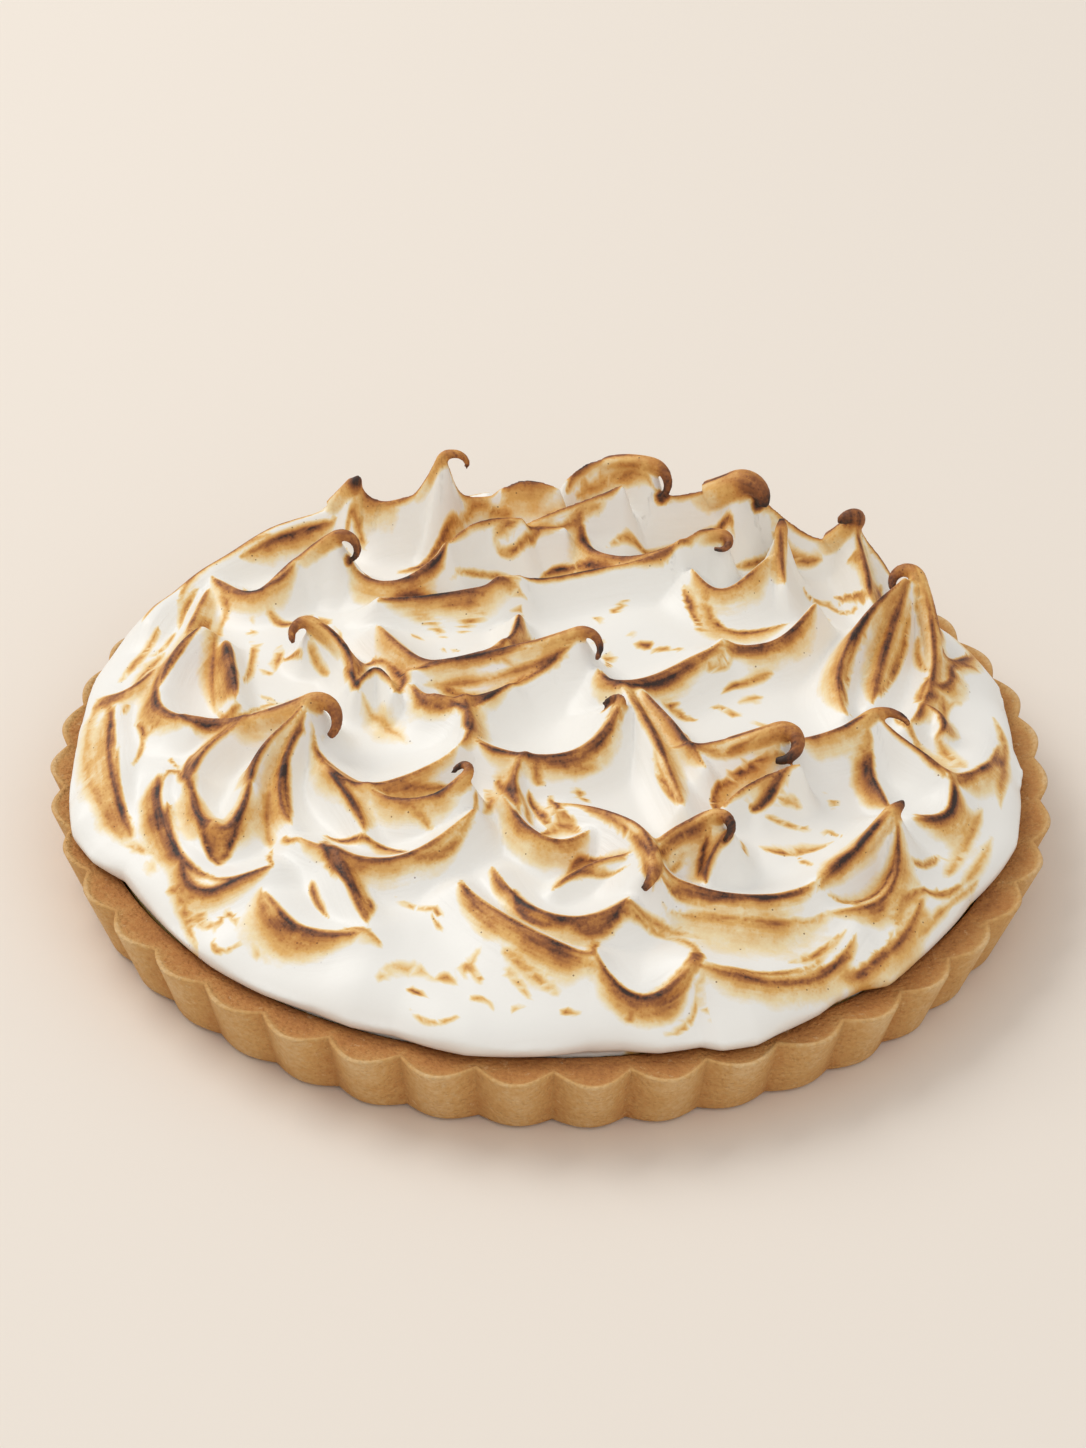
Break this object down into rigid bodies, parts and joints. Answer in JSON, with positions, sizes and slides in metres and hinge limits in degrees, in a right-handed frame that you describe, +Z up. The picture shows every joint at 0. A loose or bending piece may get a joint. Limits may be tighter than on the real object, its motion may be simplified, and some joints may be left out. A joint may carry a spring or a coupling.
{
  "type": "lemon meringue pie",
  "caption": "Round fluted shortcrust pie with a lemon filling under a deep toasted meringue swept into crests, bowls and curled peaks.",
  "frame": {"origin": "centre of the flat underside of the crust", "axes": "+Z up, -Y towards the front, +X to the right seen from the front"},
  "size_m": [0.2736, 0.2795, 0.0706],
  "materials": {
    "crust": "dry baked shortcrust, sandy golden brown",
    "lemon": "set lemon curd, pale yellow and slightly wet",
    "meringue": "satin white meringue, toasted golden to dark brown on its crests"
  },
  "bodies": {
    "root": {"crust": "crust", "lemon_filling": "lemon", "meringue": "meringue"}
  },
  "joints": []
}
